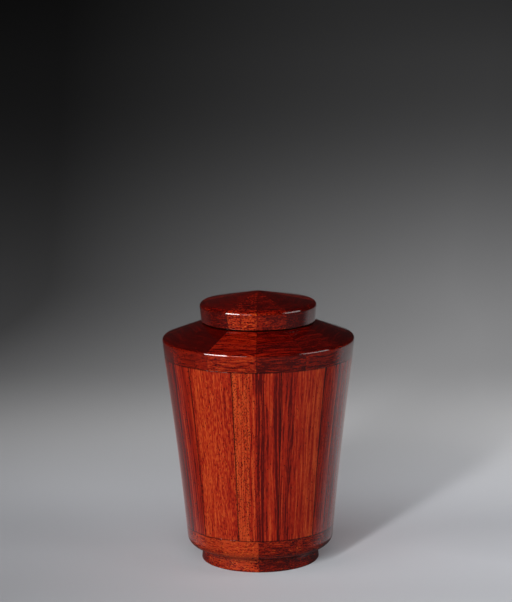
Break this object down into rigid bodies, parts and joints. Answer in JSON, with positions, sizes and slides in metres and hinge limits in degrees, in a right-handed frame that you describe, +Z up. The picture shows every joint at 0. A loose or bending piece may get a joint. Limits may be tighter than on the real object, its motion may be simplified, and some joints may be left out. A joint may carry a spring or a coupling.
{
  "type": "tea caddy",
  "caption": "Turned wooden tea caddy: tapered body of glued staves on a footed base ring, sloping shoulder, and a lift-off lid whose plug and seal close the mouth.",
  "frame": {"origin": "centre of the foot's underside, on the ground", "axes": "+Z up along the turning axis, -Y the front with a ring seam in its middle, +X to the right"},
  "size_m": [0.1, 0.1, 0.1426],
  "materials": {
    "stave_wood": "clear gloss lacquer",
    "ring_wood": "clear gloss lacquer",
    "inner_wood": "clear satin oil",
    "seal_rubber": "matt translucent"
  },
  "bodies": {
    "caddy": {"base_segment_01": "ring_wood", "base_segment_02": "ring_wood", "base_segment_03": "ring_wood", "base_segment_04": "ring_wood", "base_segment_05": "ring_wood", "base_segment_06": "ring_wood", "base_segment_07": "ring_wood", "base_segment_08": "ring_wood", "base_segment_09": "ring_wood", "base_segment_10": "ring_wood", "base_segment_11": "ring_wood", "base_segment_12": "ring_wood", "stave_01": "stave_wood", "stave_02": "stave_wood", "stave_03": "stave_wood", "stave_04": "stave_wood", "stave_05": "stave_wood", "stave_06": "stave_wood", "stave_07": "stave_wood", "stave_08": "stave_wood", "stave_09": "stave_wood", "stave_10": "stave_wood", "stave_11": "stave_wood", "stave_12": "stave_wood", "shoulder_segment_01": "ring_wood", "shoulder_segment_02": "ring_wood", "shoulder_segment_03": "ring_wood", "shoulder_segment_04": "ring_wood", "shoulder_segment_05": "ring_wood", "shoulder_segment_06": "ring_wood", "shoulder_segment_07": "ring_wood", "shoulder_segment_08": "ring_wood", "shoulder_segment_09": "ring_wood", "shoulder_segment_10": "ring_wood", "shoulder_segment_11": "ring_wood", "shoulder_segment_12": "ring_wood", "floor_disc": "inner_wood"},
    "seal": {"lid_seal": "seal_rubber"},
    "lid": {"lid_segment_01": "ring_wood", "lid_segment_02": "ring_wood", "lid_segment_03": "ring_wood", "lid_segment_04": "ring_wood", "lid_segment_05": "ring_wood", "lid_segment_06": "ring_wood", "lid_segment_07": "ring_wood", "lid_segment_08": "ring_wood", "lid_segment_09": "ring_wood", "lid_segment_10": "ring_wood", "lid_segment_11": "ring_wood", "lid_segment_12": "ring_wood", "lid_plug": "inner_wood"}
  },
  "joints": [
    {"name": "lid_lift", "type": "slide", "parent": "caddy", "child": "seal", "axis": [0, 0, 1], "range_m": [0, 0.08]},
    {"name": "lid_turn", "type": "hinge", "parent": "seal", "child": "lid", "pos_m": [0, 0, 0.1267], "axis": [0, 0, 1], "continuous": true}
  ]
}
